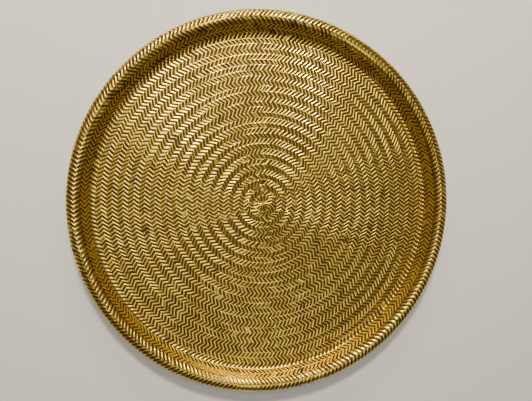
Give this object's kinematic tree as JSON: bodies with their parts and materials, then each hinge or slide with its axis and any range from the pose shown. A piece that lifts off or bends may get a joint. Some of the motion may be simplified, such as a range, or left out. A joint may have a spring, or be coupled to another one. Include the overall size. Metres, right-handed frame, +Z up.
{
  "type": "tray",
  "caption": "Round chased brass tray with a low side and a hollow rolled rim, and a hinged wire loop behind it for hanging on a wall.",
  "frame": {"origin": "centre of the underside of the floor, where the tray stands on a table", "axes": "+Z up out of the hollow, +Y towards the hanging loop (the top edge when hung), +X to the right seen from the front"},
  "size_m": [0.5999, 0.6, 0.03],
  "materials": {
    "chased_brass": "hand-chased, bright ridges over dark brown patina",
    "plain_brass": "unpolished, dulled",
    "iron_wire": "black iron, lightly rusted",
    "soft_solder": "dull grey, wiped"
  },
  "bodies": {
    "tray": {"tray_pan": "chased_brass", "rim_wire": "iron_wire", "hanger_strap": "plain_brass", "strap_solder": "soft_solder"},
    "loop": {"hanging_loop": "plain_brass"}
  },
  "joints": [
    {"name": "loop_hinge", "type": "hinge", "parent": "tray", "child": "loop", "pos_m": [0, 0.27516, 0.006], "axis": [1, 0, 0], "range_deg": [-104, 89]}
  ]
}
